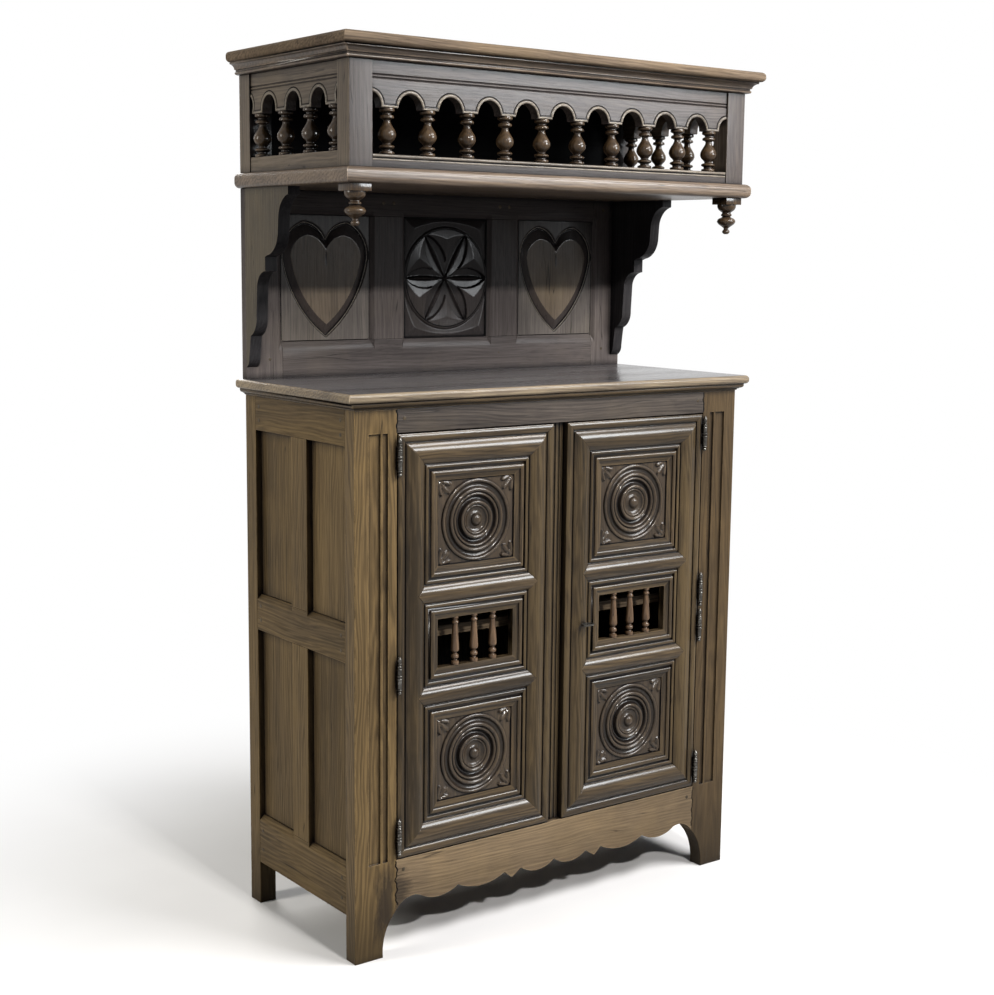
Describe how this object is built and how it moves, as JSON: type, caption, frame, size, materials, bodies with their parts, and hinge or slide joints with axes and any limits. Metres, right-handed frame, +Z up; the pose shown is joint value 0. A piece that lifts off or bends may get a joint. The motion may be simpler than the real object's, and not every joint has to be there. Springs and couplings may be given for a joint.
{
  "type": "sideboard",
  "caption": "Tall galleried oak sideboard: two-door cupboard with carved roundels, worktop, open carved hutch and a spindled canopy; doors swing, key throws the lock.",
  "frame": {"origin": "on the floor, under the middle of the bounding box", "axes": "+X to the right seen from the front, front towards -Y, +Z up"},
  "size_m": [1.134, 0.485, 1.898],
  "materials": {
    "oak_frame": "waxed",
    "oak_panel": "waxed",
    "oak_plain": "raw, aged",
    "iron": "worn, dark"
  },
  "bodies": {
    "carcass": {"arcade_front": "oak_frame", "arcade_left": "oak_frame", "arcade_right": "oak_frame", "back_boards": "oak_plain", "back_post_left": "oak_frame", "back_post_right": "oak_frame", "back_rails": "oak_plain", "bed_mould": "oak_frame", "canopy_floor_board": "oak_frame", "centre_stile": "oak_frame", "cleats": "oak_plain", "console_left": "oak_frame", "console_right": "oak_frame", "cornice_moulding": "oak_frame", "finials": "oak_frame", "floor_boards": "oak_plain", "front_apron": "oak_frame", "front_head_rail": "oak_frame", "front_post_left": "oak_frame", "front_post_right": "oak_frame", "front_spindles": "oak_frame", "gallery_back_board": "oak_plain", "gallery_posts": "oak_frame", "gallery_sills": "oak_frame", "heart_panel_left": "oak_panel", "heart_panel_right": "oak_panel", "hinge_posts": "iron", "hutch_rails": "oak_frame", "hutch_stiles": "oak_frame", "rosette_panel": "oak_panel", "shelf": "oak_plain", "side_muntins_left": "oak_frame", "side_muntins_right": "oak_frame", "side_panels_left": "oak_panel", "side_panels_right": "oak_panel", "side_rails_left": "oak_frame", "side_rails_right": "oak_frame", "side_spindles_left": "oak_frame", "side_spindles_right": "oak_frame", "top_board": "oak_frame", "worktop": "oak_frame"},
    "left_door": {"left_door_barrels": "iron", "left_door_mouldings": "oak_frame", "left_door_panels": "oak_panel", "left_door_rails": "oak_frame", "left_door_spindles": "oak_frame", "left_door_stiles": "oak_frame", "slide_bolt_plate": "iron"},
    "right_door": {"right_door_barrels": "iron", "right_door_mouldings": "oak_frame", "right_door_panels": "oak_panel", "right_door_rails": "oak_frame", "right_door_spindles": "oak_frame", "right_door_stiles": "oak_frame", "lock_case": "iron"},
    "key": {"key": "iron"},
    "lock_bolt": {"lock_bolt": "iron"},
    "slide_bolt": {"slide_bolt": "iron"}
  },
  "joints": [
    {"name": "left_door_hinge", "type": "hinge", "parent": "carcass", "child": "left_door", "pos_m": [-0.42575, -0.221, 0.66], "axis": [0, 0, -1], "range_deg": [0, 150]},
    {"name": "right_door_hinge", "type": "hinge", "parent": "carcass", "child": "right_door", "pos_m": [0.42575, -0.221, 0.66], "axis": [0, 0, 1], "range_deg": [0, 150]},
    {"name": "key_turn", "type": "hinge", "parent": "right_door", "child": "key", "pos_m": [0.0705, -0.21, 0.658], "axis": [0, 1, 0], "range_deg": [0, 180]},
    {"name": "lock_bolt_slide", "type": "slide", "parent": "right_door", "child": "lock_bolt", "axis": [-1, 0, 0], "range_m": [0, 0.012]},
    {"name": "slide_bolt_slide", "type": "slide", "parent": "left_door", "child": "slide_bolt", "axis": [0, 0, 1], "range_m": [0, 0.012]}
  ],
  "couplings": [
    {"joint": "lock_bolt_slide", "follows": "key_turn", "m_per_rad": 0.0038197}
  ]
}
